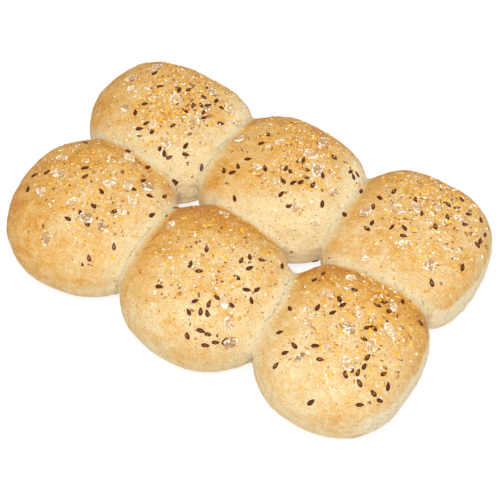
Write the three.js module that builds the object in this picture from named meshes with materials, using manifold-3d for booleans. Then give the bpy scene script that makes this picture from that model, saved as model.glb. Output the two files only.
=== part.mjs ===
// A batch of six seeded bread rolls that were baked side by side, in two rows of three, and are
// still joined where their walls rose against each other. Flax seeds and oat flakes stick to
// the crowns. Everything is one loaf of bread, so it is one solid.
// Units are millimetres, +Z is up, and the batch rests on z = 0 with its middle at the origin.
import * as THREE from "three";
import { mergeVertices } from "three/addons/utils/BufferGeometryUtils.js";
import Module from "manifold-3d";

const wasm = await Module();
wasm.setup();

// Driving dimensions of every roll.
const SHOULDER = 18; // height at which a roll is widest
const FULLNESS = 2.6; // 2 is an elliptical crown, more is flatter on top with a rounder shoulder
const UNDERCUT = THREE.MathUtils.degToRad(37); // how far the wall turns in between shoulder and base

// Each roll as it rose: where its middle is, half its width and depth, its height, how square
// its outline is, how far that is turned, and how much it bulges at three bearings.
// A sprinkle is where a pinch of topping fell: its middle and reach, as shares of the roll's
// half width, and how many pieces stuck.
const ROLLS = [
  {
    at: [-82.7, 42.1], half: [53, 47.9], tall: 47, square: 2.35, turned: -6, bulge: [0.034, 41],
    flax: [[0.1, 0.02, 0.32, 17], [0.52, 0.2, 0.2, 6], [0.58, -0.58, 0.16, 4], [0, -0.46, 0.12, 3]],
    oats: [[-0.1, 0.25, 0.4, 7], [0.35, -0.2, 0.3, 3]],
  },
  {
    at: [2.5, 41.9], half: [51.4, 47.6], tall: 47.2, square: 2.5, turned: -5, bulge: [0.01, -30],
    flax: [[-0.22, -0.22, 0.22, 9], [0.12, 0.02, 0.16, 6], [0.66, 0.16, 0.2, 8], [0.16, -0.42, 0.12, 4]],
    oats: [[0.4, 0.1, 0.35, 6], [-0.35, -0.25, 0.3, 3], [0.2, -0.5, 0.18, 2]],
  },
  {
    at: [89.2, 44.1], half: [47.7, 49.7], tall: 48, square: 2.65, turned: -2, bulge: [0.014, -15],
    flax: [[-0.5, 0.06, 0.24, 14], [0.62, 0.58, 0.2, 9], [0.12, 0.1, 0.34, 8]],
    oats: [[0.05, 0.15, 0.4, 7], [0.4, -0.3, 0.25, 2]],
  },
  {
    at: [-85.7, -38.1], half: [51.5, 51.6], tall: 49.4, square: 2.25, turned: 6, bulge: [0.01, 30],
    flax: [[0, 0.52, 0.28, 8], [0.6, 0.3, 0.2, 4], [0.34, -0.46, 0.24, 12], [-0.62, -0.2, 0.12, 4]],
    oats: [[-0.15, 0.25, 0.42, 8], [0.45, -0.05, 0.25, 5]],
  },
  {
    at: [2, -43.5], half: [53.4, 49.5], tall: 49, square: 2.25, turned: -10, bulge: [0.028, 15],
    flax: [[0.5, -0.62, 0.2, 14], [0.5, 0.22, 0.18, 7], [-0.2, 0, 0.42, 9]],
    oats: [[0.5, -0.3, 0.2, 3], [-0.1, 0.45, 0.3, 2]],
  },
  {
    at: [88.5, -37.8], half: [47.8, 50.7], tall: 49.2, square: 2.45, turned: 3, bulge: [0.022, 39],
    flax: [[0.1, 0.42, 0.28, 14], [0.58, -0.34, 0.2, 13], [-0.08, -0.3, 0.42, 15]],
    oats: [[0.35, 0.2, 0.4, 7], [-0.2, -0.2, 0.4, 4]],
  },
];

// Toppings: length, width and thickness of the largest, the smallest one's share of that length
// and width, how much of the thickness stands out of the crust, the least distance between two
// middles, and the facets round a piece and from top to bottom.
const FLAX = { size: [5, 2.7, 1.7], smallest: 0.86, proud: 0.4, apart: 3.4, sides: 6, bands: 2 };
const OATS = { size: [9.6, 6.8, 2], smallest: 0.58, proud: 0.42, apart: 8, sides: 6, bands: 3 };
const SEED_OF_DRAWS = 20260;
const OUTERMOST = 0.92; // toppings keep inside this share of the outline
const FROM_CREASE = 1.5; // height that a topping's place keeps above the neighbouring roll
const TRIES = 60; // draws that are made for a piece before it is left out
const SCATTER = 0.95; // share of a bell-shaped scatter that is used, so that no piece lands far out
const DROP = 100; // height from which a topping's place on the crust is found

// Fineness of the faceted crust.
const AROUND = 32;
const CROWN_RINGS = 8;
const WALL_RINGS = 3;
const WELD = 1e-4; // points closer than this are one point

const CRUST = new THREE.MeshStandardMaterial({ color: 0xe6bd7d, roughness: 0.75, metalness: 0 });

// Repeatable draws between 0 and 1, by a small mixing generator.
function drawsFrom(seed) {
  let state = seed | 0;
  return () => {
    state = (state + 0x6d2b79f5) | 0;
    let mixed = Math.imul(state ^ (state >>> 15), 1 | state);
    mixed = (mixed + Math.imul(mixed ^ (mixed >>> 7), 61 | mixed)) ^ mixed;
    return ((mixed ^ (mixed >>> 14)) >>> 0) / 2 ** 32;
  };
}

// Half width of a roll's outline, at the shoulder, towards a bearing.
function outlineReach(roll, bearing) {
  const along = bearing - THREE.MathUtils.degToRad(roll.turned);
  const across = Math.abs(Math.cos(along)) / roll.half[0];
  const deep = Math.abs(Math.sin(along)) / roll.half[1];
  const squared = (across ** roll.square + deep ** roll.square) ** (-1 / roll.square);
  const [share, towards] = roll.bulge;
  return squared * (1 + share * Math.cos(3 * (bearing - THREE.MathUtils.degToRad(towards))));
}

// Height of the crown at a share of the way from the roll's middle to its outline.
function crownHeight(roll, share) {
  return SHOULDER + (roll.tall - SHOULDER) * (1 - share ** FULLNESS) ** (1 / FULLNESS);
}

// Height of a roll's crown over a place in the plan, or 0 outside the roll.
function heightOver(roll, x, y) {
  const [dx, dy] = [x - roll.at[0], y - roll.at[1]];
  const share = Math.hypot(dx, dy) / outlineReach(roll, Math.atan2(dy, dx));
  return share < 1 ? crownHeight(roll, share) : 0;
}

// A roll's profile, from the top of the crown over the shoulder to the middle of the base.
function rollProfile(roll) {
  const points = [];
  for (let i = 0; i <= CROWN_RINGS; i++) {
    const angle = ((i / CROWN_RINGS) * Math.PI) / 2;
    const share = Math.sin(angle) ** (2 / FULLNESS);
    const rise = Math.max(0, Math.cos(angle)) ** (2 / FULLNESS);
    points.push(new THREE.Vector2(share, SHOULDER + (roll.tall - SHOULDER) * rise));
  }
  for (let i = 1; i <= WALL_RINGS; i++) {
    const angle = (i / WALL_RINGS) * UNDERCUT;
    points.push(new THREE.Vector2(Math.cos(angle), SHOULDER * (1 - Math.sin(angle) / Math.sin(UNDERCUT))));
  }
  points.push(new THREE.Vector2(0, 0));
  return points.reverse();
}

// A roll without toppings: the profile turned about its middle, then drawn out to its outline.
function rollGeometry(roll) {
  const geometry = new THREE.LatheGeometry(rollProfile(roll), AROUND).rotateX(Math.PI / 2);
  const place = geometry.getAttribute("position");
  for (let i = 0; i < place.count; i++) {
    const [x, y] = [place.getX(i), place.getY(i)];
    const reach = outlineReach(roll, Math.atan2(y, x));
    place.setXY(i, roll.at[0] + x * reach, roll.at[1] + y * reach);
  }
  return geometry;
}

// Where the pieces of one topping lie on a roll: a place in the plan, a turn and a size for each.
function sprinkle(roll, pinches, topping, taken, draw) {
  const places = [];
  for (const [middleX, middleY, reach, count] of pinches) {
    for (let piece = 0; piece < count; piece++) {
      for (let attempt = 0; attempt < TRIES; attempt++) {
        const distance = reach * Math.sqrt(-2 * Math.log(1 - SCATTER * draw()));
        const way = 2 * Math.PI * draw();
        const turn = Math.PI * draw();
        const grown = topping.smallest + (1 - topping.smallest) * draw();
        const [u, v] = [middleX + distance * Math.cos(way), middleY + distance * Math.sin(way)];
        const bearing = Math.atan2(v, u);
        const share = Math.hypot(u, v);
        const x = roll.at[0] + share * outlineReach(roll, bearing) * Math.cos(bearing);
        const y = roll.at[1] + share * outlineReach(roll, bearing) * Math.sin(bearing);
        const crowded = taken.some((other) => Math.hypot(other.x - x, other.y - y) < topping.apart);
        if (share > OUTERMOST || crowded || inCrease(roll, x, y)) continue;
        places.push({ x, y, turn, grown });
        taken.push({ x, y });
        break;
      }
    }
  }
  return places;
}

// Whether a place on a roll is covered by a neighbour, or close to the crease between them.
function inCrease(roll, x, y) {
  const height = heightOver(roll, x, y);
  return ROLLS.some((other) => other !== roll && heightOver(other, x, y) > height - FROM_CREASE);
}

// One seed or flake: a flattened faceted ball, sunk into the bare roll's crust along its facet.
function toppingGeometry(topping, bareRoll, { x, y, turn, grown }) {
  const [long, wide, thick] = topping.size;
  const [upward, downward] = [new THREE.Vector3(0, 0, 1), new THREE.Vector3(0, 0, -1)];
  const above = new THREE.Vector3(x, y, DROP);
  const [{ point, face }] = new THREE.Raycaster(above, downward).intersectObject(bareRoll);
  const tilt = new THREE.Quaternion().setFromUnitVectors(upward, face.normal);
  const spin = new THREE.Quaternion().setFromAxisAngle(upward, turn);
  const middle = point.addScaledVector(face.normal, (topping.proud - 0.5) * thick);
  const widest = Math.sin((Math.PI * Math.floor(topping.bands / 2)) / topping.bands);
  return new THREE.SphereGeometry(1, topping.sides, topping.bands)
    .rotateX(Math.PI / 2)
    .scale((grown * long) / 2 / widest, (grown * wide) / 2 / widest, thick / 2)
    .applyQuaternion(tilt.multiply(spin))
    .translate(middle.x, middle.y, middle.z);
}

// Between three.js geometry and solids that can be joined.
function solidOf(geometry) {
  geometry.deleteAttribute("normal");
  geometry.deleteAttribute("uv");
  const merged = mergeVertices(geometry, WELD);
  const [vertProperties, triVerts] = [merged.attributes.position.array, new Uint32Array(merged.index.array)];
  return new wasm.Manifold(new wasm.Mesh({ numProp: 3, vertProperties, triVerts }));
}

function geometryOf(solid) {
  const mesh = solid.getMesh();
  const geometry = new THREE.BufferGeometry();
  geometry.setAttribute("position", new THREE.BufferAttribute(new Float32Array(mesh.vertProperties), 3));
  geometry.setIndex(new THREE.BufferAttribute(new Uint32Array(mesh.triVerts), 1));
  geometry.computeVertexNormals();
  return geometry;
}

// Every roll and every topping, joined into one solid.
function batchGeometry() {
  const draw = drawsFrom(SEED_OF_DRAWS);
  const solids = [];
  for (const roll of ROLLS) {
    const bareRoll = new THREE.Mesh(rollGeometry(roll), CRUST);
    solids.push(solidOf(bareRoll.geometry.clone()));
    const taken = [];
    for (const [topping, pinches] of [[OATS, roll.oats], [FLAX, roll.flax]]) {
      for (const place of sprinkle(roll, pinches, topping, taken, draw)) {
        solids.push(solidOf(toppingGeometry(topping, bareRoll, place)));
      }
    }
  }
  return geometryOf(wasm.Manifold.union(solids));
}

const batch = new THREE.Group();
const bread = new THREE.Mesh(batchGeometry(), CRUST);
bread.name = "bread_batch";
batch.add(bread);

export default batch;
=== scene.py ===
# Dresses a batch of six seeded bread rolls that were baked side by side and are still joined.
# The bread is one fine mesh with a baked crust. Flax seeds, oat flakes and coarse meal lie on it.
# Sizes are in millimetres, as in the solid model, until a mesh is made; Blender's are in metres.
import itertools
import math

import bpy
import numpy as np
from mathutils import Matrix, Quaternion, Vector
from mathutils.bvhtree import BVHTree


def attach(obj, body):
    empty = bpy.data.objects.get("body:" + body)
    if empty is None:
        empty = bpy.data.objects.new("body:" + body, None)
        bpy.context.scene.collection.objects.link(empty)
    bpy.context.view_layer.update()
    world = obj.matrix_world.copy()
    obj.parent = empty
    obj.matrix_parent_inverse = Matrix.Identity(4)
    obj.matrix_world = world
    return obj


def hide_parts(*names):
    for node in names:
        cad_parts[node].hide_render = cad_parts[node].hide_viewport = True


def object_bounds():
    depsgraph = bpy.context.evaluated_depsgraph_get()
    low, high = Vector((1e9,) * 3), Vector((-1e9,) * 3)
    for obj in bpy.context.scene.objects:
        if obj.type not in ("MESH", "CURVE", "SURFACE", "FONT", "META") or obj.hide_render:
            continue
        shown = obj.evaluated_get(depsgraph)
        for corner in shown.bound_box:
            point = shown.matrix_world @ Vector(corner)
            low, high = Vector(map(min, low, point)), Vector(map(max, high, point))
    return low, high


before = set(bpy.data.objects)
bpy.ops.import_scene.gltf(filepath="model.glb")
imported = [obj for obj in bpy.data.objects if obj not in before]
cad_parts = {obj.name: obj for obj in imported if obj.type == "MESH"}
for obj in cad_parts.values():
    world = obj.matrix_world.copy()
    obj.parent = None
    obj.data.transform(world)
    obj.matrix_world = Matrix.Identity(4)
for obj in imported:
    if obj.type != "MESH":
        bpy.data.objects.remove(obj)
CAD_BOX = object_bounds()

MM = 0.001

# Every roll: the height of its widest level, how full its crown is, and how far its wall rounds in.
SHOULDER = 18.0
FULLNESS = 2.6
UNDERCUT = math.radians(37)

# The rolls, as the solid model has them: the middle, half the width and depth, the height, how
# square the outline is, how far it is turned, and its bulge at three bearings. Flax, oats and meal
# come in pinches: the middle and reach as shares of the half width, and how many pieces stuck.
# "baked" is how brown the middle, the rim at the oven's hot side and the rim across from it are,
# and "oven_side" is the bearing of the hot side. "dented" draws the outline in and "upright"
# straightens the wall: the share, the bearing and half the width in degrees.
ROLLS = [
    {
        "at": (-82.7, 42.1), "half": (53, 47.9), "tall": 47,
        "square": 2.35, "turned": -6, "bulge": (0.034, 41),
        "flax": [(0.1, 0.02, 0.32, 17), (0.52, 0.2, 0.2, 6), (0.58, -0.58, 0.16, 4), (0, -0.46, 0.12, 3)],
        "oats": [(-0.1, 0.25, 0.4, 7), (0.35, -0.2, 0.3, 3)],
        "meal": [(0.1, 0.3, 0.36, 790), (0.1, -0.1, 0.4, 300)],
        "baked": (0.56, 0.64, 0.06), "oven_side": 135, "dented": [(0.04, -46, 22)],
    },
    {
        "at": (2.5, 41.9), "half": (51.4, 47.6), "tall": 47.2,
        "square": 2.5, "turned": -5, "bulge": (0.01, -30),
        "flax": [(-0.22, -0.22, 0.22, 9), (0.12, 0.02, 0.16, 6), (0.66, 0.16, 0.2, 8),
                 (0.16, -0.42, 0.12, 4)],
        "oats": [(0.4, 0.1, 0.35, 6), (-0.35, -0.25, 0.3, 3), (0.2, -0.5, 0.18, 2)],
        "meal": [(0, 0.35, 0.36, 490), (0.3, 0, 0.4, 290)],
        "baked": (0.63, 0.75, 0.06), "oven_side": 135, "dented": [(0.068, -53, 25)],
    },
    {
        "at": (89.2, 44.1), "half": (47.7, 49.7), "tall": 48,
        "square": 2.65, "turned": -2, "bulge": (0.014, -15),
        "flax": [(-0.5, 0.06, 0.24, 14), (0.62, 0.58, 0.2, 9), (0.12, 0.1, 0.34, 8)],
        "oats": [(0.05, 0.15, 0.4, 7), (0.4, -0.3, 0.25, 2)],
        "meal": [(0.1, 0.5, 0.34, 720), (0.2, 0, 0.4, 340)],
        "baked": (0.44, 0.62, 0.52), "oven_side": 130, "upright": [(0.32, -10, 52)],
    },
    {
        "at": (-85.7, -38.1), "half": (51.5, 51.6), "tall": 49.4,
        "square": 2.25, "turned": 6, "bulge": (0.01, 30),
        "flax": [(0, 0.52, 0.28, 8), (0.6, 0.3, 0.2, 4), (0.34, -0.46, 0.24, 12), (-0.62, -0.2, 0.12, 4)],
        "oats": [(-0.15, 0.25, 0.42, 8), (0.45, -0.05, 0.25, 5)],
        "meal": [(-0.1, 0.3, 0.4, 400), (0.2, -0.1, 0.4, 280)],
        "baked": (0.56, 0.75, 0.38), "oven_side": 160,
    },
    {
        "at": (2, -43.5), "half": (53.4, 49.5), "tall": 49,
        "square": 2.25, "turned": -10, "bulge": (0.028, 15),
        "flax": [(0.5, -0.62, 0.2, 14), (0.5, 0.22, 0.18, 7), (-0.2, 0, 0.42, 9)],
        "oats": [(0.5, -0.3, 0.2, 3), (-0.1, 0.45, 0.3, 2)],
        "meal": [(0.1, 0.2, 0.42, 400), (0.2, -0.2, 0.36, 320)],
        "baked": (0.34, 0.92, 0.3), "oven_side": 135,
    },
    {
        "at": (88.5, -37.8), "half": (47.8, 50.7), "tall": 49.2,
        "square": 2.45, "turned": 3, "bulge": (0.022, 39),
        "flax": [(0.1, 0.42, 0.28, 14), (0.58, -0.34, 0.2, 13), (-0.08, -0.3, 0.42, 15)],
        "oats": [(0.35, 0.2, 0.4, 7), (-0.2, -0.2, 0.4, 4)],
        "meal": [(0.1, 0.3, 0.42, 500), (0.3, -0.1, 0.4, 300)],
        "baked": (0.4, 0.9, 0.26), "oven_side": 98, "upright": [(0.32, -8, 48)],
    },
]

# The middle part of an upright wall, as a share of its half width, where it is straightest.
STRAIGHTEST = 0.3

# Toppings, as the solid model has them: the size, the smallest piece as a share of it, how much of
# the thickness stands out of the crust, and how far apart two pieces are.
FLAX = {"size": (5, 2.7, 1.7), "smallest": 0.86, "proud": 0.4, "apart": 3.4}
OATS = {"size": (9.6, 6.8, 2), "smallest": 0.58, "proud": 0.42, "apart": 8}

# How they are drawn: the seed, the farthest share of a roll's reach, the least height above a
# crease, the tries for each, how much of the long tail counts, and where they drop from.
SEED_OF_DRAWS = 20260
OUTERMOST = 0.92
FROM_CREASE = 1.5
TRIES = 60
SCATTER = 0.95
DROP = 100

# The bread's grid: the side of its cubes, the room round the bread, how many cubes it starts below
# the ground, how far it measures, and how often vertices are drawn to the skin.
CELL = 1.28
MARGIN = 4.0
CELLS_BELOW = 2.5
FARTHEST = 40.0
SETTLING_STEPS = 3

# How softly two rolls join low down and near the top, the heights between which that changes, and
# the rounding of the sole's edge.
LOW_BLEND = 2.0
TOP_BLEND = 6.0
BLEND_HEIGHTS = (20, 32)
SOLE_ROUNDING = 3.0

# The walls' brown foot: its top, the share of that where it is brownest, and its ragged edge.
FOOT_TOP = 5.5
FOOT_BROWNEST = 0.25
FOOT_RAGS = ((1.8, 7, 32),)

# The gaps where four rolls meet: round shafts at a place, with a radius, how much painted light
# lightens the walls round them against the shade in the gap, and the top of their brown foot, which
# round the first gap reaches high as painted shade. Then how softly a shaft joins the bread, how
# near to it a wall gets the painted light, and at which heights.
GAPS = [(-42.8, 0.2, 3.8, 0.3, 12), (40, -2.5, 5.2, 0.5, 5), (42.5, -7, 4.8, 0.5, 5)]
GAP_BLEND = 6.0
GAP_NEAR = (9, 2)
PALE_FROM = (3, 7)
PALE_TO = (38, 28)


def draws_from(seed):
    """Repeatable draws between 0 and 1, the same ones that the solid model makes."""
    mask = 0xFFFFFFFF
    state = seed

    def draw():
        nonlocal state
        state = (state + 0x6D2B79F5) & mask
        mixed = ((state ^ (state >> 15)) * (1 | state)) & mask
        mixed = (mixed + (mixed ^ (mixed >> 7)) * (61 | mixed)) & mask ^ mixed
        return (mixed ^ (mixed >> 14)) / 2**32

    return draw


def smoothstep(low, high, value):
    share = np.clip((value - low) / (high - low), 0, 1)
    return share * share * (3 - 2 * share)


def smooth_noise(points, wavelength, seed):
    """Soft noise of about -1 to 1 at places in millimetres, with bumps about a wavelength apart."""
    side = 32
    lattice = np.random.default_rng(seed).normal(size=(side, side, side, 3))
    scaled = points / wavelength
    base = np.floor(scaled).astype(int)
    part = scaled - base
    eased = part**3 * (part * (part * 6 - 15) + 10)
    total = np.zeros(len(points))
    for corner in itertools.product((0, 1), repeat=3):
        weight = np.prod(np.where(corner, eased, 1 - eased), axis=1)
        slope = lattice[tuple(((base + corner) % side).T)]
        total += weight * np.sum(slope * (part - corner), axis=1)
    return total


def layers(points, rows):
    """Soft noise in layers, each with its height, wavelength and seed."""
    return sum(height * smooth_noise(points, wavelength, seed) for height, wavelength, seed in rows)


# Shape of the rolls


def outline_reach(roll, bearing):
    """Half width of a roll's outline, at the shoulder, towards a bearing."""
    along = bearing - math.radians(roll["turned"])
    across = np.abs(np.cos(along)) / roll["half"][0]
    deep = np.abs(np.sin(along)) / roll["half"][1]
    squared = (across ** roll["square"] + deep ** roll["square"]) ** (-1 / roll["square"])
    share, towards = roll["bulge"]
    return squared * (1 + share * np.cos(3 * (bearing - math.radians(towards))))


def share_out(roll, x, y):
    """How far out a place in the plan is, as a share of the way from the middle to the outline."""
    dx, dy = x - roll["at"][0], y - roll["at"][1]
    return np.hypot(dx, dy) / outline_reach(roll, np.arctan2(dy, dx))


def height_over(roll, x, y):
    """Height of a roll's crown over a place in the plan, or 0 outside the roll."""
    share = share_out(roll, x, y)
    if share >= 1:
        return 0.0
    return SHOULDER + (roll["tall"] - SHOULDER) * (1 - share**FULLNESS) ** (1 / FULLNESS)


def turn_between(bearing, other):
    """The angle between two bearings, whichever way round is shorter."""
    return np.abs((bearing - other + math.pi) % (2 * math.pi) - math.pi)


def fill(roll, points):
    """Below 1 inside a roll, 1 on its skin and above 1 outside."""
    x, y, z = points.T
    share = share_out(roll, x, y)
    rise = np.clip(z - SHOULDER, 0, None) / (roll["tall"] - SHOULDER)
    drop = np.clip(SHOULDER - z, 0, None) / SHOULDER * math.sin(UNDERCUT)
    bearing = np.arctan2(y - roll["at"][1], x - roll["at"][0])
    for deep, towards, half_width in roll.get("dented", ()):
        off = turn_between(bearing, math.radians(towards)) / math.radians(half_width)
        share = share * (1 + deep * np.exp(-(off**2)))
    for straighter, towards, half_width in roll.get("upright", ()):
        off = turn_between(bearing, math.radians(towards))
        edge = math.radians(half_width)
        drop *= 1 - straighter * smoothstep(edge, STRAIGHTEST * edge, off)
    crown = (share**FULLNESS + rise**FULLNESS) ** (1 / FULLNESS)
    return np.where(z > SHOULDER, crown, np.hypot(share, drop))


def skin_distance(roll, points):
    """About how far points are from a roll's skin, in millimetres, negative inside."""
    step = 0.4
    here = fill(roll, points)
    slopes = [(fill(roll, points + step * axis) - here) / step for axis in np.eye(3)]
    steepness = np.maximum(np.linalg.norm(slopes, axis=0), 1e-4)
    return np.clip((here - 1) / steepness, -FARTHEST, FARTHEST)


def blend_low(a, b, width):
    """The lower of two distances, with a round corner of that width."""
    near = np.clip(width - np.abs(a - b), 0, None) / width
    return np.minimum(a, b) - near * near * width / 4


def bread_field():
    """Distances from the whole batch's skin on a grid, with the grid's lowest corner."""
    low = np.array(CAD_BOX[0]) / MM - MARGIN
    high = np.array(CAD_BOX[1]) / MM + MARGIN
    low[2] = -CELLS_BELOW * CELL
    axes = [np.arange(a, b + CELL, CELL) for a, b in zip(low, high)]
    field = np.full([len(axis) for axis in axes], FARTHEST)
    blend = LOW_BLEND + (TOP_BLEND - LOW_BLEND) * smoothstep(*BLEND_HEIGHTS, axes[2])
    for roll in ROLLS:
        reach = max(roll["half"]) * 1.1 + MARGIN
        spans = [np.abs(axis - middle) < reach for axis, middle in zip(axes, roll["at"])]
        block = np.ix_(spans[0], spans[1], np.full(len(axes[2]), True))
        places = np.meshgrid(axes[0][spans[0]], axes[1][spans[1]], axes[2], indexing="ij")
        points = np.stack([place.ravel() for place in places], axis=1)
        distance = skin_distance(roll, points).reshape(places[0].shape)
        field[block] = blend_low(field[block], distance, blend)
    for x, y, radius, *_ in GAPS:
        from_shaft = np.hypot(axes[0][:, None] - x, axes[1] - y)[:, :, None] - radius
        field = -blend_low(-field, from_shaft, GAP_BLEND)
    return -blend_low(-field, np.broadcast_to(axes[2], field.shape), SOLE_ROUNDING), low


def sampled(grid, points, corner):
    """Values of a grid between its points."""
    scaled = (points - corner) / CELL
    base = np.clip(np.floor(scaled).astype(int), 0, np.array(grid.shape[:3]) - 2)
    part = scaled - base
    total = 0
    for offset in itertools.product((0, 1), repeat=3):
        weight = np.prod(np.where(offset, part, 1 - part), axis=1)
        values = grid[tuple((base + offset).T)]
        total = total + weight.reshape(-1, *[1] * (values.ndim - 1)) * values
    return total


def net_of(field, corner):
    """Vertices and outward quads where a field is zero: one vertex for each cube that it crosses."""
    cells = np.array(field.shape) - 1
    count = np.zeros(cells.prod())
    total = np.zeros((3, cells.prod()))
    quads = []
    for axis in range(3):
        lower, upper = [slice(None)] * 3, [slice(None)] * 3
        lower[axis], upper[axis] = slice(None, -1), slice(1, None)
        near, far = field[tuple(lower)], field[tuple(upper)]
        edges = np.argwhere((near < 0) != (far < 0))
        near, far = near[tuple(edges.T)], far[tuple(edges.T)]
        crossing = edges.astype(float)
        crossing[:, axis] += near / (near - far)
        first, second = [other for other in range(3) if other != axis]
        around = []
        for back_first, back_second in ((0, 0), (1, 0), (1, 1), (0, 1)):
            cell = edges.copy()
            cell[:, first] -= back_first
            cell[:, second] -= back_second
            flat = np.ravel_multi_index(cell.T, cells)
            count += np.bincount(flat, minlength=len(count))
            for direction in range(3):
                total[direction] += np.bincount(flat, crossing[:, direction], len(count))
            around.append(flat)
        quad = np.stack(around, axis=1)
        turned = (near > 0) != (axis == 1)
        quad[turned] = quad[turned][:, ::-1]
        quads.append(quad)
    used = np.flatnonzero(count)
    number = np.zeros(len(count), int)
    number[used] = np.arange(len(used))
    return (total[:, used] / count[used]).T * CELL + corner, number[np.concatenate(quads)]


def bread_surface():
    """The smooth skin of the joined rolls: vertices, quads and outward normals."""
    field, corner = bread_field()
    points, quads = net_of(field, corner)
    slope = np.stack(np.gradient(field, CELL), axis=-1)
    for _ in range(SETTLING_STEPS):
        here = sampled(slope, points, corner)
        away = sampled(field, points, corner) / np.sum(here * here, axis=1)
        points = points - here * np.clip(away, -CELL, CELL)[:, None]
    normals = sampled(slope, points, corner)
    return points, quads, normals / np.linalg.norm(normals, axis=1)[:, None]


# How far from a joint the crust stayed pale: on average, how much more at the oven's cool end, and
# where that is.
KISS_REACH = 5.2
KISS_MORE = 3.2
KISS_BEARING = math.radians(-75)


def lie_of(points, normals):
    """For every point: its roll, its place on it, and how far it is from the joint with the next roll."""
    distances = np.array([skin_distance(roll, points) for roll in ROLLS])
    owner, other = np.argsort(distances, axis=0)[:2]
    nearest, gap = np.sort(distances, axis=0)[:2]
    middles = np.array([roll["at"] for roll in ROLLS])[owner]
    bearing = np.arctan2(points[:, 1] - middles[:, 1], points[:, 0] - middles[:, 0])
    kiss_reach = KISS_REACH + KISS_MORE * np.cos(bearing - KISS_BEARING)
    share = np.zeros(len(points))
    for index, roll in enumerate(ROLLS):
        own = owner == index
        share[own] = share_out(roll, points[own, 0], points[own, 1])
    return {
        "owner": owner,
        "bearing": bearing,
        "share": share,
        "height": points[:, 2],
        "gap": gap,
        "across": np.where(owner < other, nearest - gap, gap - nearest),
        "kissed": np.exp(-((gap / kiss_reach) ** 2)),
        "sole": smoothstep(-0.75, -0.97, normals[:, 2]),
    }


# The right side of the right-hand rolls was torn from a neighbour: the rolls, the bearing and half
# width, the top and its softness, how far out it starts, and the layers of its ragged edge.
TORN_ROLLS = (2, 5)
TORN_BEARING = math.radians(-6)
TORN_HALF_WIDTH = math.radians(50)
TORN_TOP = 30.0
TORN_EDGE = 1.6
TORN_OUTSIDE = (0.75, 0.9)
TORN_RAGS = ((2.2, 9, 26), (1.3, 3.5, 27))


def torn_side(points, lie):
    """1 on the pale walls that once joined another roll, 0 elsewhere."""
    ragged = layers(points * (1, 1, 0.3), TORN_RAGS)
    off = turn_between(lie["bearing"], TORN_BEARING)
    sideways = smoothstep(TORN_HALF_WIDTH, TORN_HALF_WIDTH * 0.75, off)
    below = smoothstep(TORN_TOP + TORN_EDGE, TORN_TOP - TORN_EDGE, lie["height"] + ragged)
    outside = smoothstep(*TORN_OUTSIDE, lie["share"])
    return np.isin(lie["owner"], TORN_ROLLS) * sideways * below * outside


def gap_walls(points):
    """Painted light on the walls round the gaps, against the shade there, and how high the brown foot of
    every wall reaches: set near each gap, and raised high round one as painted shade.
    """
    pale = np.zeros(len(points))
    foot_top = np.full(len(points), FOOT_TOP)
    for x, y, radius, painted_lightness, top in GAPS:
        near = smoothstep(*GAP_NEAR, np.hypot(points[:, 0] - x, points[:, 1] - y) - radius)
        pale = np.maximum(pale, painted_lightness * near)
        foot_top += (top - FOOT_TOP) * near
    return pale * smoothstep(*PALE_FROM, points[:, 2]) * smoothstep(*PALE_TO, points[:, 2]), foot_top


# Rims that a neighbour shaded in the oven, and so paler; on the second roll the strength also adds
# painted light against the lamps' shade on that side: the roll, the bearing, half the width and the
# strength.
PALE_RIMS = [(0, 30, 34, 0.72), (1, 26, 34, 0.95)]
PALE_RIM_SHARES = (0.6, 0.86)


def pale_rims(lie):
    """1 where a rim stayed pale in its neighbour's shade in the oven, 0 elsewhere; partly painted light
    against the lamps' shade.
    """
    pale = np.zeros(len(lie["share"]))
    for index, bearing, half_width, strength in PALE_RIMS:
        off = turn_between(lie["bearing"], math.radians(bearing))
        sideways = smoothstep(math.radians(half_width), 0, off)
        pale += strength * (lie["owner"] == index) * sideways * smoothstep(*PALE_RIM_SHARES, lie["share"])
    return pale


# Dents, folds and marks in the crust: the roll, the kind, the place as shares of the roll's reach,
# the bearing, half the length and width in millimetres, and the depth.
MARKS = [
    (0, "fold", (0.2, -0.52), -60, (20, 3.5), 0.8),
    (0, "fold", (0.05, -0.75), -80, (12, 3), 0.65),
    (1, "fold", (0.4, -0.8), -60, (16, 2.5), 0.91),
    (1, "fold", (0.25, -0.65), -65, (14, 2), 0.39),
    (2, "swirl", (-0.21, -0.5), -20, (12, 10), 1.04),
    (2, "ring", (0.69, 0), 0, (3.6, 3), 0.45),
    (2, "ring", (-0.51, -0.62), 0, (2.6, 2.4), 0.33),
    (2, "fold", (0.3, 0.2), 60, (9, 2), 0.45),
    (3, "ring", (0.43, -0.8), 0, (3.6, 2.8), 0.45),
    (3, "ring", (-0.24, -0.6), 30, (3.8, 3), 0.45),
    (3, "fold", (0.25, 0.72), 70, (18, 3), 0.78),
    (3, "fold", (0.5, -0.6), -50, (11, 2.4), 0.52),
    (4, "fold", (0.7, 0.1), 10, (15, 2.6), 0.52),
    (4, "ring", (0.2, -0.85), 0, (3.4, 2.6), 0.39),
    (5, "fold", (0.64, 0.34), 35, (7, 1.8), 0.78),
    (5, "dent", (0.45, -0.75), 0, (9, 5), 0.65),
    (5, "ring", (0.4, -0.82), 20, (3.2, 2.6), 0.39),
]


def mark_depth(kind, along, across):
    """Depth of a mark at a place measured in its own half lengths and half widths.

    A fold has a lip beside it, a ring a dome inside, and a swirl has ripples.
    """
    if kind == "fold":
        bent = across + 0.9 * along * along
        lip = 0.7 * np.exp(-((bent - 1.7) ** 2))
        return np.exp(-2 * along**4) * (np.exp(-(bent**2)) - lip)
    distance = np.hypot(along, across)
    if kind == "ring":
        dome = 0.4 * np.exp(-((distance / 0.6) ** 2))
        return np.exp(-(((distance - 1) / 0.28) ** 2)) - dome
    if kind == "swirl":
        ripples = np.cos(5.5 * distance) * np.exp(-((distance / 1.1) ** 4))
        return 0.7 * np.exp(-(distance**2)) + 0.5 * ripples
    return np.exp(-(distance**2))


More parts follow.
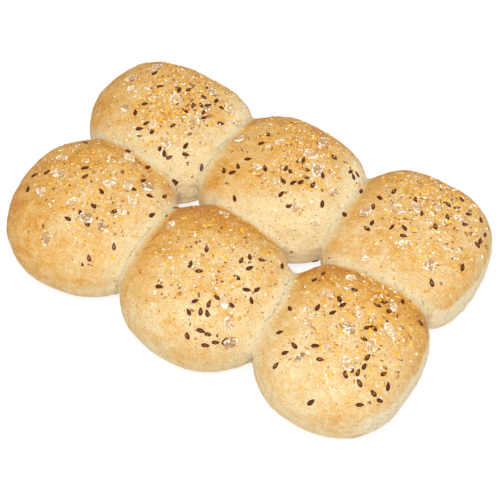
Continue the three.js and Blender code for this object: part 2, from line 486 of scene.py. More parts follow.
def marks_depth(points, lie):
    """How deep all the marks are at every point."""
    depth = np.zeros(len(points))
    for index, kind, (u, v), bearing, (half_length, half_width), deepest in MARKS:
        roll = ROLLS[index]
        reach = outline_reach(roll, math.atan2(v, u))
        dx = points[:, 0] - (roll["at"][0] + u * reach)
        dy = points[:, 1] - (roll["at"][1] + v * reach)
        turn = math.radians(bearing)
        outward = dx * math.cos(turn) + dy * math.sin(turn)
        sideways = -dx * math.sin(turn) + dy * math.cos(turn)
        near = (lie["owner"] == index) & (np.hypot(dx, dy) < 3 * (half_length + half_width))
        near &= lie["height"] > SHOULDER
        depth[near] += deepest * mark_depth(kind, sideways[near] / half_length, outward[near] / half_width)
    return depth


# Unevenness of the crust in layers: the height, the wavelength and the seed of each.
BUMPS = ((0.55, 30, 11), (0.38, 13, 12), (0.22, 6.5, 13), (0.12, 3.4, 14))
SOLE_SMOOTHNESS = 0.85

# The relief at a joint: the reach, length and height of its strands, its groove and its wrinkles.
JOINT_WIDTH = 7.0
STRAND_LENGTH = 3.5
STRAND_HEIGHT = 0.24
GROOVE_DEPTH = 0.6
GROOVE_WIDTH = 1.5
WRINKLE_HEIGHT = 1.1
WRINKLES_BELOW = (34, 24)

# How deep a torn wall lies.
TORN_DEPTH = 0.25


def relief(points, lie):
    """How far the real crust stands out of the smooth rolls."""
    rough = 1 - SOLE_SMOOTHNESS * lie["sole"]
    out = layers(points, BUMPS) * rough
    joint = np.exp(-((lie["gap"] / JOINT_WIDTH) ** 2)) * rough
    along = (points[:, 0] + points[:, 1]) / STRAND_LENGTH
    strands = np.stack([lie["across"], along, points[:, 2] / STRAND_LENGTH], axis=1)
    drawn = smooth_noise(strands, 3.2, 21) + 0.7 * smooth_noise(points, 6, 22)
    groove = GROOVE_DEPTH * np.exp(-((lie["gap"] / GROOVE_WIDTH) ** 2))
    groove *= 0.7 + 0.3 * smooth_noise(points, 7, 23)
    wrinkled = lie["kissed"] * smoothstep(*WRINKLES_BELOW, lie["height"]) * rough
    slanted = points * (0.4, 0.4, 1) + 0.25 * points[:, [1, 0, 0]]
    out += wrinkled * WRINKLE_HEIGHT * smooth_noise(slanted, 5, 25)
    out += joint * STRAND_HEIGHT * drawn - groove * rough - marks_depth(points, lie)
    shreds = 0.3 * smooth_noise(points * (1, 1, 0.4), 3, 24)
    shreds += 0.4 * smooth_noise(points * (0.6, 0.6, 1), 7, 28)
    return out - lie["torn"] * (TORN_DEPTH - shreds)


# Browning: how much more the outer rim gets and less the low wall, what share a joint, a torn wall
# and a shaded rim lose, and the blotches.
OUTER_RIM = 0.2
LOW_WALL = 0.17
JOINT_LOSS = 0.85
TORN_LOSS = 0.85
SHADE_LOSS = 0.9
BLOTCHES = ((0.05, 24, 31),)


def browning(points, lie):
    """0 for pale dough, about 0.5 for a golden crust and 1 for the darkest brown."""
    middle, hot, cool = np.array([roll["baked"] for roll in ROLLS])[lie["owner"]].T
    tall = np.array([roll["tall"] for roll in ROLLS])[lie["owner"]]
    oven_side = np.radians([roll["oven_side"] for roll in ROLLS])[lie["owner"]]
    facing = (1.15 * np.cos(lie["bearing"] - oven_side) + 0.1).clip(-1, 1)
    facing *= smoothstep(0, 0.75, lie["share"])
    low = smoothstep(0.6, 0.2, lie["height"] / tall)
    level = middle + (hot - middle) * facing.clip(0, None) + (middle - cool) * facing.clip(None, 0)
    edge = smoothstep(0.6, 0.95, lie["share"]) * (1 - lie["kissed"]) * (1 + facing) / 2
    level += OUTER_RIM * edge - LOW_WALL * low
    kept = (1 - JOINT_LOSS * lie["kissed"]) * (1 - TORN_LOSS * lie["torn"])
    level *= kept * (1 - SHADE_LOSS * pale_rims(lie))
    return level + layers(points, BLOTCHES)


def mesh_object(name, points, faces, material, floats):
    """A smooth-shaded mesh object from millimetres, with named numbers on its vertices."""
    mesh = bpy.data.meshes.new(name)
    mesh.from_pydata((np.asarray(points) * MM).tolist(), [], faces)
    mesh.shade_smooth()
    for label, values in floats.items():
        layer = mesh.attributes.new(label, "FLOAT", "POINT")
        layer.data.foreach_set("value", np.asarray(values, np.float32))
    mesh.materials.append(material)
    piece = bpy.data.objects.new(name, mesh)
    bpy.context.scene.collection.objects.link(piece)
    return piece


def make_bread(material):
    """The joined rolls as one piece, in place of the plain solid."""
    points, quads, normals = bread_surface()
    lie = lie_of(points, normals)
    lie["torn"] = torn_side(points, lie)
    raised = points + normals * relief(points, lie)[:, None]
    raised[:, 2] = np.maximum(raised[:, 2], 0)
    gap_painted_light, foot_top = gap_walls(points)
    above_foot = lie["height"] + layers(points, FOOT_RAGS)
    floats = {
        "browned": browning(points, lie),
        "across": lie["across"],
        "kissed": lie["kissed"],
        "low": smoothstep(40, 26, lie["height"]),
        "torn": lie["torn"],
        "mark": marks_depth(points, lie),
        "pale_rim_and_painted_light": pale_rims(lie),
        # Painted light on the walls round the gaps; the brown foot reaches up as painted shade round one
        # gap.
        "gap_painted_light": gap_painted_light,
        "foot": smoothstep(foot_top, FOOT_BROWNEST * foot_top, above_foot),
        "sole": lie["sole"],
    }
    bread = mesh_object("bread", raised, quads.tolist(), material, floats)
    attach(bread, "root")
    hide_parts("bread_batch")
    return bread


# Toppings


def in_crease(roll, x, y):
    """Whether a place on a roll is covered by a neighbour, or close to the crease between them."""
    height = height_over(roll, x, y)
    return any(other is not roll and height_over(other, x, y) > height - FROM_CREASE for other in ROLLS)


def sprinkle(roll, pinches, topping, taken, draw):
    """Where the pieces of one topping lie on a roll, with a turn and a size for each."""
    places = []
    for middle_x, middle_y, reach, count in pinches:
        for _ in range(count):
            for _ in range(TRIES):
                distance = reach * math.sqrt(-2 * math.log(1 - SCATTER * draw()))
                way = 2 * math.pi * draw()
                turn = math.pi * draw()
                grown = topping["smallest"] + (1 - topping["smallest"]) * draw()
                u = middle_x + distance * math.cos(way)
                v = middle_y + distance * math.sin(way)
                bearing, share = math.atan2(v, u), math.hypot(u, v)
                out = share * outline_reach(roll, bearing)
                x = roll["at"][0] + out * math.cos(bearing)
                y = roll["at"][1] + out * math.sin(bearing)
                crowded = any(math.hypot(a - x, b - y) < topping["apart"] for a, b in taken)
                if share > OUTERMOST or crowded or in_crease(roll, x, y):
                    continue
                places.append((x, y, turn, grown))
                taken.append((x, y))
                break
    return places


def dropped(tree, x, y):
    """Where something dropped at a place lands and which way is out there, or None in a gap."""
    return tree.ray_cast(Vector((x, y, DROP)) * MM, Vector((0, 0, -1)))[:2]


class Topping:
    """The many small shapes of one topping, gathered into one mesh."""

    def __init__(self):
        self.points = []
        self.faces = []
        self.floats = {}

    def add(self, shape, hit, turn, depth):
        """Lays a shape on the crust where it was hit, turned, with its middle at a depth."""
        points, faces, floats = shape
        place, normal = hit
        up = Vector((0, 0, 1))
        turned = up.rotation_difference(normal) @ Quaternion(up, turn)
        start = len(self.points)
        middle = np.array(place) / MM - np.array(normal) * depth
        self.points += (points @ np.array(turned.to_matrix()).T + middle).tolist()
        self.faces += [tuple(start + corner for corner in face) for face in faces]
        for label, values in floats.items():
            self.floats.setdefault(label, []).extend(values)


def ball(around, bands):
    """A ball of radius 1 from rings of points between two poles: its points and faces."""
    points = [(0, 0, 1)]
    for band in range(1, bands):
        tilt = math.pi * band / bands
        for step in range(around):
            turn = 2 * math.pi * step / around
            points.append((math.sin(tilt) * math.cos(turn), math.sin(tilt) * math.sin(turn), math.cos(tilt)))
    points.append((0, 0, -1))
    last = len(points) - 1
    faces = []
    for step in range(around):
        after = (step + 1) % around
        faces.append((0, 1 + step, 1 + after))
        faces.append((last, last - around + after, last - around + step))
        for band in range(bands - 2):
            top, below = 1 + band * around, 1 + (band + 1) * around
            faces.append((top + step, below + step, below + after, top + after))
    return np.array(points), faces


# An oat flake: the number and height of the waves round it, the depth of its groove, and the
# height of its grain.
OAT_WAVES = ((2, 0.08), (3, 0.07), (5, 0.05), (8, 0.035), (13, 0.02))
OAT_GROOVE = 0.4
OAT_GRAIN = 0.18


def flax_shape(grown, draw):
    """A flax seed: a flat drop with one pointed end, a raised rim and a sunken middle."""
    points, faces = ball(16, 14)
    points = points[:, [2, 0, 1]]
    along, across, up = points.T
    out = np.hypot(along, across)
    width = 1 - 0.2 * along - 0.14 * along**2
    tip = 1 + 0.12 * np.clip(along, 0, 1) ** 6
    sunken = np.where(up > 0, 0.55 + 0.75 * out**2, 1)
    shape = np.stack([along * tip, across * width, up * width * sunken], axis=1)
    size = np.array(FLAX["size"]) * (grown, grown, 1) / 2
    return shape * size, faces, {"rim": out, "tone": [draw()] * len(points)}


def oat_shape(grown, draw):
    """A rolled oat flake: an uneven oval with a groove along it and a thin, curled edge."""
    points, faces = ball(26, 16)
    bearing = np.arctan2(points[:, 1], points[:, 0])
    out = np.hypot(points[:, 0], points[:, 1])
    ragged = 1
    for waves, height in OAT_WAVES:
        ragged = ragged + height * np.sin(waves * bearing + 2 * math.pi * draw())
    flat = np.sign(points[:, 2]) * np.abs(points[:, 2]) ** 0.6
    shape = np.stack([points[:, 0] * ragged, points[:, 1] * ragged, flat], axis=1)
    shape *= np.array(OATS["size"]) * (grown, grown, 1) / 2
    groove = OAT_GROOVE * np.exp(-((shape[:, 1] / 0.5) ** 2)) * (1 - out**2)
    curl = out**5 * (0.3 + 0.34 * np.sin(2 * bearing + 2 * math.pi * draw()))
    grain = smooth_noise(shape * (0.4, 1.5, 0) + 90 * draw(), 1.0, 41)
    shape[:, 2] += np.where(shape[:, 2] > 0, curl + OAT_GRAIN * grain - groove, 0)
    return shape, faces, {"rim": out, "grain": grain, "tone": [draw()] * len(points)}


def meal_shape(size, draw):
    """A broken grain of meal: a rough chip with flat sides. Most are stubby and a few are long."""
    points, faces = ball(5, 3)
    length = 0.7 + 1.5 * draw() ** 4
    width = 0.5 + 0.4 * draw()
    height = 0.4 + 0.35 * draw()
    rough = np.array([[0.65 + 0.7 * draw()] for _ in points])
    shape = points * rough * (length, width, height) * size / 2
    return shape, faces, {"tone": [draw()] * len(points)}


# Meal: the size of its largest grains, the share of the clumps of each kind, and how deep it lies.
MEAL = {"smallest": 0.4, "apart": 0.6}
MEAL_SIZE = {"white_meal": 2.15, "yellow_meal": 2.5, "brown_bran": 2.2}
MEAL_SHARES = {"white_meal": 0.29, "yellow_meal": 0.43, "brown_bran": 0.28}
MEAL_SINK = 0.1

# A clump of meal: the most grains, and how far apart they lie.
CLUMP_MOST = 4
CLUMP_REACH = 1.5

# Some of the flax seeds sank in deeper: what share of them, and by how much.
SUNK_FLAX = (0.14, 0.45)

# Bits that got caught low in the joints and at the gaps: the place, the turn and the size.
CAUGHT_FLAX = [
    ((45.6, 10.3, 9), 20, 0.95), ((33.5, 0.3, 25), 70, 0.4), ((33.5, -0.5, 20), 10, 0.4),
    ((-51.8, 3.6, 32), 80, 0.9), ((-41.7, -15.8, 30), 40, 0.85), ((-44, -2, 6), 10, 0.6),
    ((49.7, -69.7, 21), 85, 0.5), ((-44.6, -72, 9), 15, 0.5),
]
CAUGHT_BRAN = [
    ((-45, -70.7, 27), 70, 2.2), ((-44.6, -70.8, 22), 95, 2.0), ((-45.5, -71, 16), 80, 2.2),
    ((-46, -72, 11), 120, 1.8), ((-44, -71, 14), 60, 1.6), ((50.5, -70, 26), 60, 2.0),
    ((52.5, -73, 22), 100, 1.8), ((48.5, -69, 14), 80, 2.2), ((27, 4, 12), 0, 2.0),
    ((-27, 2, 22), 90, 1.8), ((55.9, 6.3, 32), 60, 2.0), ((-60, 3, 12), 20, 1.8),
]
CAUGHT_SINK = 0.2


def lay_seeds(toppings, tree, shaping):
    """Oat flakes and flax seeds where the solid model has them."""
    draw = draws_from(SEED_OF_DRAWS)
    for roll in ROLLS:
        taken = []
        depth = (0.5 - OATS["proud"]) * OATS["size"][2]
        for x, y, turn, grown in sprinkle(roll, roll["oats"], OATS, taken, draw):
            toppings["oat_flakes"].add(oat_shape(grown, shaping), dropped(tree, x, y), turn, depth)
        depth = (0.5 - FLAX["proud"]) * FLAX["size"][2]
        for x, y, turn, grown in sprinkle(roll, roll["flax"], FLAX, taken, draw):
            sunk = SUNK_FLAX[1] * (shaping() < SUNK_FLAX[0])
            toppings["flax_seeds"].add(flax_shape(grown, shaping), dropped(tree, x, y), turn, depth + sunk)


def lay_meal(toppings, tree, shaping):
    """Small clumps of meal between the seeds and flakes."""
    kinds = list(MEAL_SHARES)
    steps = np.cumsum(list(MEAL_SHARES.values())[:-1])
    for roll in ROLLS:
        for x, y, turn, grown in sprinkle(roll, roll["meal"], MEAL, [], shaping):
            kind = kinds[np.searchsorted(steps, shaping())]
            for _ in range(1 + int(CLUMP_MOST * shaping() ** 3)):
                shape = meal_shape(MEAL_SIZE[kind] * grown**1.5, shaping)
                hit = dropped(tree, x, y)
                if hit[0]:
                    toppings[kind].add(shape, hit, turn, MEAL_SINK)
                x += CLUMP_REACH * (shaping() - 0.5)
                y += CLUMP_REACH * (shaping() - 0.5)
                turn += math.pi * shaping()
                grown *= 0.7 + 0.4 * shaping()


def lay_caught(toppings, tree, shaping):
    """Seeds and bran that got caught in the joints and at the gaps."""
    for at, turn, grown in CAUGHT_FLAX:
        hit = tree.find_nearest(Vector(at) * MM)[:2]
        toppings["flax_seeds"].add(flax_shape(grown, shaping), hit, math.radians(turn), CAUGHT_SINK)
    for at, turn, size in CAUGHT_BRAN:
        hit = tree.find_nearest(Vector(at) * MM)[:2]
        toppings["brown_bran"].add(meal_shape(size, shaping), hit, math.radians(turn), CAUGHT_SINK)


def make_toppings(bread, materials):
    """All that lies on the crust, one piece for each material."""
    corners = [vertex.co for vertex in bread.data.vertices]
    tree = BVHTree.FromPolygons(corners, [face.vertices for face in bread.data.polygons])
    shaping = draws_from(SEED_OF_DRAWS + 1)
    toppings = {name: Topping() for name in materials}
    lay_seeds(toppings, tree, shaping)
    lay_meal(toppings, tree, shaping)
    lay_caught(toppings, tree, shaping)
    for name, topping in toppings.items():
        piece = mesh_object(name, topping.points, topping.faces, materials[name], topping.floats)
        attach(piece, "root")


# Materials


def shade(red, green, blue):
    """A colour as a screen shows it, from 0 to 255, as Blender's linear numbers."""
    parts = [value / 255 for value in (red, green, blue)]
    return (*[p / 12.92 if p <= 0.04045 else ((p + 0.055) / 1.055) ** 2.4 for p in parts], 1)


class Finish:
    """A material, with short calls for the nodes that it is made of."""

    def __init__(self, name, **sockets):
        self.material = bpy.data.materials.new(name)
        self.material.use_nodes = True
        self.tree = self.material.node_tree
        self.shader = self.tree.nodes["Principled BSDF"]
        self.colour = None
        for label, value in sockets.items():
            self.feed(self.shader.inputs[label.replace("_", " ")], value)

    def feed(self, socket, value):
        if isinstance(value, bpy.types.NodeSocket):
            self.tree.links.new(value, socket)
        else:
            socket.default_value = value

    def node(self, kind, inputs, **settings):
        made = self.tree.nodes.new("ShaderNode" + kind)
        for label, value in settings.items():
            setattr(made, label, value)
        for label, value in inputs.items():
            self.feed(made.inputs[label], value)
        return made

    def place(self, stretch=(1, 1, 1)):
        """The place on the object, counted in millimetres."""
        where = self.node("TexCoord", {}).outputs["Object"]
        scale = tuple(1 / MM * share for share in stretch)
        return self.node("Mapping", {"Vector": where, "Scale": scale}).outputs["Vector"]

    def named(self, label):
        return self.node("Attribute", {}, attribute_name=label).outputs["Fac"]

    def along_joint(self, width, length):
        """A place counted in widths across the nearest joint and in lengths along it and upwards."""
        part = self.node("SeparateXYZ", {"Vector": self.place()}).outputs
        joint = {
            "X": self.times(self.named("across"), 1 / width),
            "Y": self.times(self.sum(part["X"], part["Y"]), 1 / length),
            "Z": self.times(part["Z"], 1 / length),
        }
        return self.node("CombineXYZ", joint).outputs["Vector"]

    def stirred(self, place, wavelength, reach):
        """Places moved about by up to half a reach, so that what is drawn at them is uneven."""
        stir = self.node("TexNoise", {"Vector": place, "Scale": 1 / wavelength, "Detail": 2.0})
        inputs = {0: stir.outputs["Color"], 1: (reach,) * 3, 2: place}
        return self.node("VectorMath", inputs, operation="MULTIPLY_ADD").outputs["Vector"]

    def noise(self, place, wavelength, detail=2.0, rough=0.5, bent=0.0):
        inputs = {"Vector": place, "Scale": 1 / wavelength, "Detail": detail, "Roughness": rough}
        inputs["Distortion"] = bent
        return self.node("TexNoise", inputs).outputs["Fac"]

    def joined(self, operation, terms):
        total = terms[0]
        for term in terms[1:]:
            total = self.node("Math", {0: total, 1: term}, operation=operation).outputs[0]
        return total

    def sum(self, *terms):
        return self.joined("ADD", terms)

    def times(self, *terms):
        return self.joined("MULTIPLY", terms)

    def span(self, value, low, high, first=0.0, last=1.0):
        """Eases from first to last while a value goes from low to high."""
        inputs = {"Value": value, "From Min": low, "From Max": high, "To Min": first, "To Max": last}
        return self.node("MapRange", inputs, interpolation_type="SMOOTHSTEP").outputs["Result"]

    def line(self, value, half_width):
        """1 in a narrow line where a value passes through 0."""
        off = self.node("Math", {0: value}, operation="ABSOLUTE").outputs[0]
        return self.span(off, half_width, 0)

    def spots(self, place, wavelength, radius, chance):
        """1 in round spots with soft edges at some scattered points, 0 elsewhere.

        The radius is a share of the spots' spacing.
        """
        scattered = self.node("TexVoronoi", {"Vector": place, "Scale": 1 / wavelength}).outputs
        picked = self.node("SeparateColor", {"Color": scattered["Color"]}).outputs["Red"]
        inside = self.span(scattered["Distance"], radius, radius * 0.55)
        return self.times(inside, self.span(picked, chance, chance * 0.9))

    def mix(self, share, first, second):
        made = self.node("Mix", {0: share}, data_type="RGBA")
        self.feed(made.inputs[6], first)
        self.feed(made.inputs[7], second)
        return made.outputs[2]

    def ramp(self, value, stops):
        made = self.node("ValToRGB", {"Fac": value})
        elements = made.color_ramp.elements
        elements[0].position, elements[0].color = stops[0]
        elements[1].position, elements[1].color = stops[-1]
        for position, colour in stops[1:-1]:
            elements.new(position).color = colour
        return made.outputs["Color"]

    def paint(self, colour, *shares):
        """Lays a colour over the ones before it, as thickly as its shares multiplied."""
        self.colour = self.mix(self.times(*shares), self.colour, colour)

    def bump(self, height, depth):
        """Relief finer than the mesh: the height is in depths, the depth in millimetres."""
        made = self.node("Bump", {"Height": height, "Distance": depth * MM})
        self.feed(self.shader.inputs["Normal"], made.outputs["Normal"])

    def finished(self):
        """The material, with what was painted as its colour."""
        self.feed(self.shader.inputs["Base Color"], self.colour)
        return self.material


# The crust from pale dough to the darkest brown, as browning counts it.
CRUST_COLOURS = [
    (0.0, shade(219, 199, 153)), (0.2, shade(212, 187, 137)), (0.42, shade(209, 171, 109)),
    (0.62, shade(204, 157, 80)), (0.82, shade(196, 138, 47)), (1.0, shade(184, 115, 26)),
]
SOLE_COLOURS = [(0.3, shade(186, 128, 60)), (0.7, shade(216, 168, 96))]


# How much each pattern changes the browning, and how far it stands out in depths of the relief.
UNEVEN_BROWNING = {"cloud": 0.16, "mottle": 0.08, "streaks": 0.09, "grain": 0.15}
CRUST_RELIEF = {
    "grain": 0.7, "mottle": 2.2, "streaks": 1.6, "shreds": 1.6, "holes": -1.4,
    "blisters": 0.3, "pores": -0.5, "drawn": 1.0, "crack": -0.9, "pits": -1.0,
}
CRUST_DEPTH = 0.35


def paint_baked(made, seen):
    """Browned unevenly by the oven, with fine brown and pale grain, blisters, flour and bran."""
    patches = made.noise(seen["uneven"], 10, 3, 0.55, 0.6)
    levels = [
        made.named("browned"),
        # Painted shade and light: browner down in the dents and folds, paler on their lips.
        made.span(made.named("mark"), -0.5, 0.9, -0.14, 0.2),
        made.span(patches, 0.5, 0.58, 0.05, -0.1),
    ]
    for name, most in UNEVEN_BROWNING.items():
        levels.append(made.span(seen[name], 0.25, 0.75, -most, most))
    made.colour = made.ramp(made.sum(*levels), CRUST_COLOURS)
    tint = made.noise(seen["place"], 0.75, 2, 0.6)
    made.paint(shade(216, 148, 48), made.span(tint, 0.5, 0.7, 0, 0.62))
    made.paint(shade(236, 216, 172), made.span(tint, 0.49, 0.3, 0, 0.38))
    made.paint(shade(204, 124, 40), seen["blisters"], 0.42)
    flour = made.spots(seen["uneven"], 1.2, 0.4, 0.3)
    made.paint(shade(250, 236, 202), flour, made.span(seen["mottle"], 0.36, 0.6), 0.55)
    made.paint(shade(166, 96, 36), made.spots(seen["uneven"], 4.6, 0.1, 0.45), 0.7)
    # Paler rims: pale from the oven, and on the second roll partly painted light against the lamps' shade.
    made.paint(shade(228, 211, 172), made.named("pale_rim_and_painted_light"))


def paint_joints(made, seen):
    """Pale where two rolls touched, with strands, a greyish core, a wandering crack and pits."""
    place = seen["place"]
    across = made.named("across")
    kissed = made.named("kissed")
    strands = made.noise(made.along_joint(1.1, 7.0), 1, 3, 0.6, 0.6)
    made.paint(shade(216, 194, 148), kissed, made.span(strands, 0.35, 0.65, 0.1, 0.7))
    made.paint(shade(225, 206, 166), kissed, made.named("low"), 0.75)
    made.paint(shade(204, 182, 138), kissed, made.span(made.noise(place, 8, 2), 0.42, 0.66, 0, 0.6))
    # Painted light: the walls round the gaps are lightened against the shade that falls in them.
    made.paint(shade(248, 232, 196), made.named("gap_painted_light"))
    wander = made.times(made.sum(made.noise(place, 9, 2, 0.5), -0.5), 11)
    core = made.line(made.sum(across, made.times(wander, 0.2)), 3.8)
    made.paint(shade(200, 188, 158), core, kissed, made.span(strands, 0.3, 0.6, 0.2, 0.75))
    crack = made.line(made.sum(across, wander), made.span(seen["grain"], 0.35, 0.7, 0.05, 0.6))
    broken = made.span(made.noise(place, 6, 2), 0.44, 0.6)
    crack = made.times(crack, broken, made.span(kissed, 0.4, 0.8))
    made.paint(shade(126, 82, 48), crack, 0.62)
    pits = made.span(made.noise(made.along_joint(1.4, 2.6), 1, 2, 0.6), 0.64, 0.72)
    pits = made.times(pits, made.span(kissed, 0.35, 0.75))
    made.paint(shade(154, 98, 52), pits, 0.38)
    seen.update(drawn=made.times(kissed, strands), crack=crack, pits=pits)


def paint_torn(made, seen):
    """Cream shreds on the torn walls, with a browner lip and small holes."""
    torn = made.named("torn")
    fibre = made.noise(made.place((1, 1, 0.35)), 1.7, 4, 0.65, 0.8)
    made.paint(shade(228, 211, 171), torn, made.span(fibre, 0.2, 0.7, 0.6, 1))
    lip = made.times(torn, made.sum(made.times(torn, -1), 1), 4)
    made.paint(shade(196, 142, 72), lip, made.span(seen["cloud"], 0.4, 0.6, 0.1, 0.6))
    holes = made.times(torn, made.span(made.noise(seen["uneven"], 3.4, 3, 0.6), 0.6, 0.72))
    made.paint(shade(190, 156, 100), holes, 0.5)
    seen.update(shreds=made.times(torn, fibre), holes=holes)


def crust_material():
    """Baked crust: golden where the oven reached, cream where rolls touched, browner at the foot."""
    made = Finish("bread_crust", IOR=1.4, Specular_IOR_Level=0.3, Subsurface_Weight=0.06)
    made.shader.inputs["Subsurface Scale"].default_value = 2 * MM
    made.shader.inputs["Subsurface Radius"].default_value = (1.0, 0.65, 0.35)
    place = made.place()
    uneven = made.stirred(place, 1.6, 1.8)
    seen = {
        "place": place,
        "uneven": uneven,
        "cloud": made.noise(place, 15, 3, 0.5, 1.2),
        "mottle": made.noise(place, 4.2, 3, 0.55),
        "streaks": made.noise(made.place((0.35, 1, 0.6)), 3.2, 3, 0.5, 1.6),
        "grain": made.noise(place, 1.1, 4, 0.7),
        "blisters": made.spots(uneven, 1.9, 0.4, 0.34),
        "pores": made.spots(place, 2.6, 0.26, 0.3),
    }
    paint_baked(made, seen)
    paint_joints(made, seen)
    paint_torn(made, seen)
    # Browner at the foot of the walls; where the foot reaches high round a gap, this is painted shade.
    made.paint(shade(164, 108, 52), made.named("foot"), made.span(seen["mottle"], 0.3, 0.7, 0.4, 0.9))
    made.paint(made.ramp(seen["mottle"], SOLE_COLOURS), made.named("sole"))
    made.feed(made.shader.inputs["Roughness"], made.span(seen["mottle"], 0.3, 0.7, 0.48, 0.66))
    heights = [made.times(seen[name], height) for name, height in CRUST_RELIEF.items()]
    made.bump(made.sum(*heights), CRUST_DEPTH)
    return made.finished()


# The flax seed coat from dark brown up to the pale colour of a painted highlight.
FLAX_COLOURS = [
    (0.0, shade(74, 30, 10)), (0.35, shade(100, 50, 22)),
    (0.7, shade(134, 84, 50)), (1.0, shade(186, 156, 130)),
]
OAT_COLOURS = [(0.0, shade(158, 116, 68)), (0.25, shade(200, 158, 104)), (1.0, shade(222, 186, 132))]

# Meal of each kind lies between a dull and a bright shade.
MEAL_COLOURS = {
    "white_meal": (shade(226, 204, 162), shade(255, 250, 236)),
    "yellow_meal": (shade(214, 146, 36), shade(250, 200, 76)),
    "brown_bran": (shade(98, 50, 16), shade(202, 136, 62)),
}


def flax_material():
    """Flax seed coat: smooth, dark brown and shiny, with a painted highlight that lightens its sunken
    middle.
    """
    made = Finish("flax_seed_coat", Roughness=0.3, IOR=1.45, Specular_IOR_Level=0.16)
    streaks = made.noise(made.place(), 0.6, 2)
    # Painted highlight: the sunken middle is lightened, more on some seeds than on others.
    middle = made.span(made.named("rim"), 0.15, 0.7, 0.6, 0)
    level = made.sum(
        made.times(middle, made.span(made.named("tone"), 0.2, 1, 0.3, 1.25)),
        made.span(streaks, 0.3, 0.7, -0.04, 0.2),
    )
    made.colour = made.ramp(level, FLAX_COLOURS)
    made.bump(streaks, 0.06)
    return made.finished()


def oat_material():
    """Oat flake: tan, flecked with white starch and painted white highlights on its rim, with browner
    creases, and edges darkened partly as painted shade.
    """
    made = Finish("oat_flake", Roughness=0.4, IOR=1.45)
    place = made.place()
    rim = made.named("rim")
    starch = made.noise(place, 3.0, 3, 0.6, 0.8)
    flecks = made.noise(place, 1.5, 3, 0.65, 1.0)
    # Painted highlights: broken white crescents along the rim.
    painted_rim_glints = made.times(made.span(rim, 0.5, 0.9), made.span(made.noise(place, 3.6), 0.42, 0.56))
    level = made.sum(
        made.times(made.span(starch, 0.4, 0.6), made.span(flecks, 0.45, 0.57), 0.85),
        made.times(painted_rim_glints, 0.6),
        made.span(made.named("grain"), -0.1, 0.9, 0, 0.3),
    )
    made.colour = made.ramp(made.named("tone"), OAT_COLOURS)
    made.paint(shade(144, 98, 46), made.span(made.noise(place, 1.35, 3, 0.6, 0.6), 0.53, 0.63), 0.55)
    # A darker rim: partly browner flake, partly painted shade where the flake meets the crust.
    made.paint(shade(146, 94, 42), made.span(rim, 0.8, 0.97), made.span(flecks, 0.6, 0.45), 0.8)
    # White starch flecks together with the painted rim highlights.
    made.paint(shade(252, 243, 222), made.span(level, 0.35, 0.88))
    made.bump(made.sum(starch, flecks), 0.5)
    return made.finished()


def meal_material(name, dull, bright):
    """Coarse meal: small hard chips between two shades."""
    made = Finish(name, Roughness=0.4, IOR=1.45)
    speckle = made.noise(made.place(), 0.6, 2)
    level = made.sum(made.times(made.named("tone"), 0.7), made.times(speckle, 0.3))
    made.colour = made.ramp(level, [(0.15, dull), (0.8, bright)])
    made.bump(speckle, 0.08)
    return made.finished()


# Stage

# The camera: its bearing, elevation and distance from the point that it looks at, that point, its
# lens, and the nearest that it sees.
VIEW_AZIMUTH = math.radians(32)
VIEW_ELEVATION = math.radians(57.16)
VIEW_DISTANCE = 754.8
VIEW_TARGET = Vector((8.46, -6.98, 20))
LENS = 89.7
NEAREST = 10

# The floor: its side in metres, how far it lies below the bread, its glow and its colours. The sky
# lights less than it shows.
FLOOR_SIDE = 6.0
FLOOR_DROP = 0.1
FLOOR_GLOW = 0.75
FLOOR_COLOURS = [(0.3, shade(136, 136, 135)), (0.7, shade(142, 142, 141))]
SKY_LIGHT = 0.55
SKY_SEEN = 1.0

# Soft lights: the azimuth and elevation in degrees, the distance and side in metres, and the watts.
LIGHTS = {
    "key_light": (22, 65, 1.1, 0.5, 10.1),
    "fill_light": (110, 40, 1.4, 1.0, 1.2),
    "back_light": (165, 35, 1.4, 1.0, 2.0),
}


def towards(azimuth, elevation):
    """The direction from the object to a place seen at an azimuth and elevation."""
    level = math.cos(elevation)
    return Vector((math.sin(azimuth) * level, -math.cos(azimuth) * level, math.sin(elevation)))


def aim(thing, place, back):
    """Puts a camera or light at a place, with its back turned that way."""
    thing.location = place
    thing.rotation_mode = "QUATERNION"
    thing.rotation_quaternion = (-back).to_track_quat("-Z", "Y")


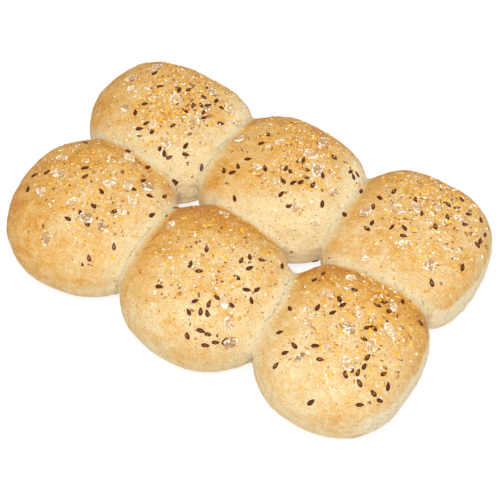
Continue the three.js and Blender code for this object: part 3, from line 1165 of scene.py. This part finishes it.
def make_camera():
    """The camera that sees the rolls as the photo does."""
    camera = bpy.data.objects.new("camera", bpy.data.cameras.new("camera"))
    bpy.context.scene.collection.objects.link(camera)
    back = towards(VIEW_AZIMUTH, VIEW_ELEVATION)
    aim(camera, (VIEW_TARGET + back * VIEW_DISTANCE) * MM, back)
    camera.data.lens = LENS
    camera.data.clip_start = NEAREST * MM
    bpy.context.scene.camera = camera


def make_softbox(name, azimuth, elevation, distance, side, watts):
    """A square soft light that faces the object."""
    light = bpy.data.lights.new(name, "AREA")
    light.size = side
    light.energy = watts
    box = bpy.data.objects.new(name, light)
    bpy.context.scene.collection.objects.link(box)
    way = towards(math.radians(azimuth), math.radians(elevation))
    aim(box, way * distance, way)


def make_sky():
    """Even light from all round, seen as plain white behind the floor."""
    world = bpy.data.worlds.new("studio")
    world.use_nodes = True
    nodes, links = world.node_tree.nodes, world.node_tree.links
    background = nodes["Background"]
    background.inputs["Color"].default_value = (1, 1, 1, 1)
    strength = nodes.new("ShaderNodeMapRange")
    strength.inputs["To Min"].default_value = SKY_LIGHT
    strength.inputs["To Max"].default_value = SKY_SEEN
    links.new(nodes.new("ShaderNodeLightPath").outputs["Is Camera Ray"], strength.inputs["Value"])
    links.new(strength.outputs["Result"], background.inputs["Strength"])
    bpy.context.scene.world = world


def make_floor():
    """A white floor of plain paper."""
    bpy.ops.mesh.primitive_plane_add(size=FLOOR_SIDE, location=(0, 0, -FLOOR_DROP * MM))
    floor = bpy.context.object
    floor.name = "floor"
    paper = Finish("floor_paper", Roughness=0.9, IOR=1.2)
    paper.colour = paper.ramp(paper.noise(paper.place(), 9, 3), FLOOR_COLOURS)
    paper.shader.inputs["Emission Color"].default_value = (1, 1, 1, 1)
    paper.shader.inputs["Emission Strength"].default_value = FLOOR_GLOW
    floor.data.materials.append(paper.finished())


make_camera()
make_floor()
make_sky()
for light_name, numbers in LIGHTS.items():
    make_softbox(light_name, *numbers)
bpy.context.scene.view_settings.view_transform = "Standard"

BREAD = make_bread(crust_material())
MATERIALS = {"oat_flakes": oat_material(), "flax_seeds": flax_material()}
for meal_name, colours in MEAL_COLOURS.items():
    MATERIALS[meal_name] = meal_material(meal_name, *colours)
make_toppings(BREAD, MATERIALS)

bpy.context.view_layer.update()
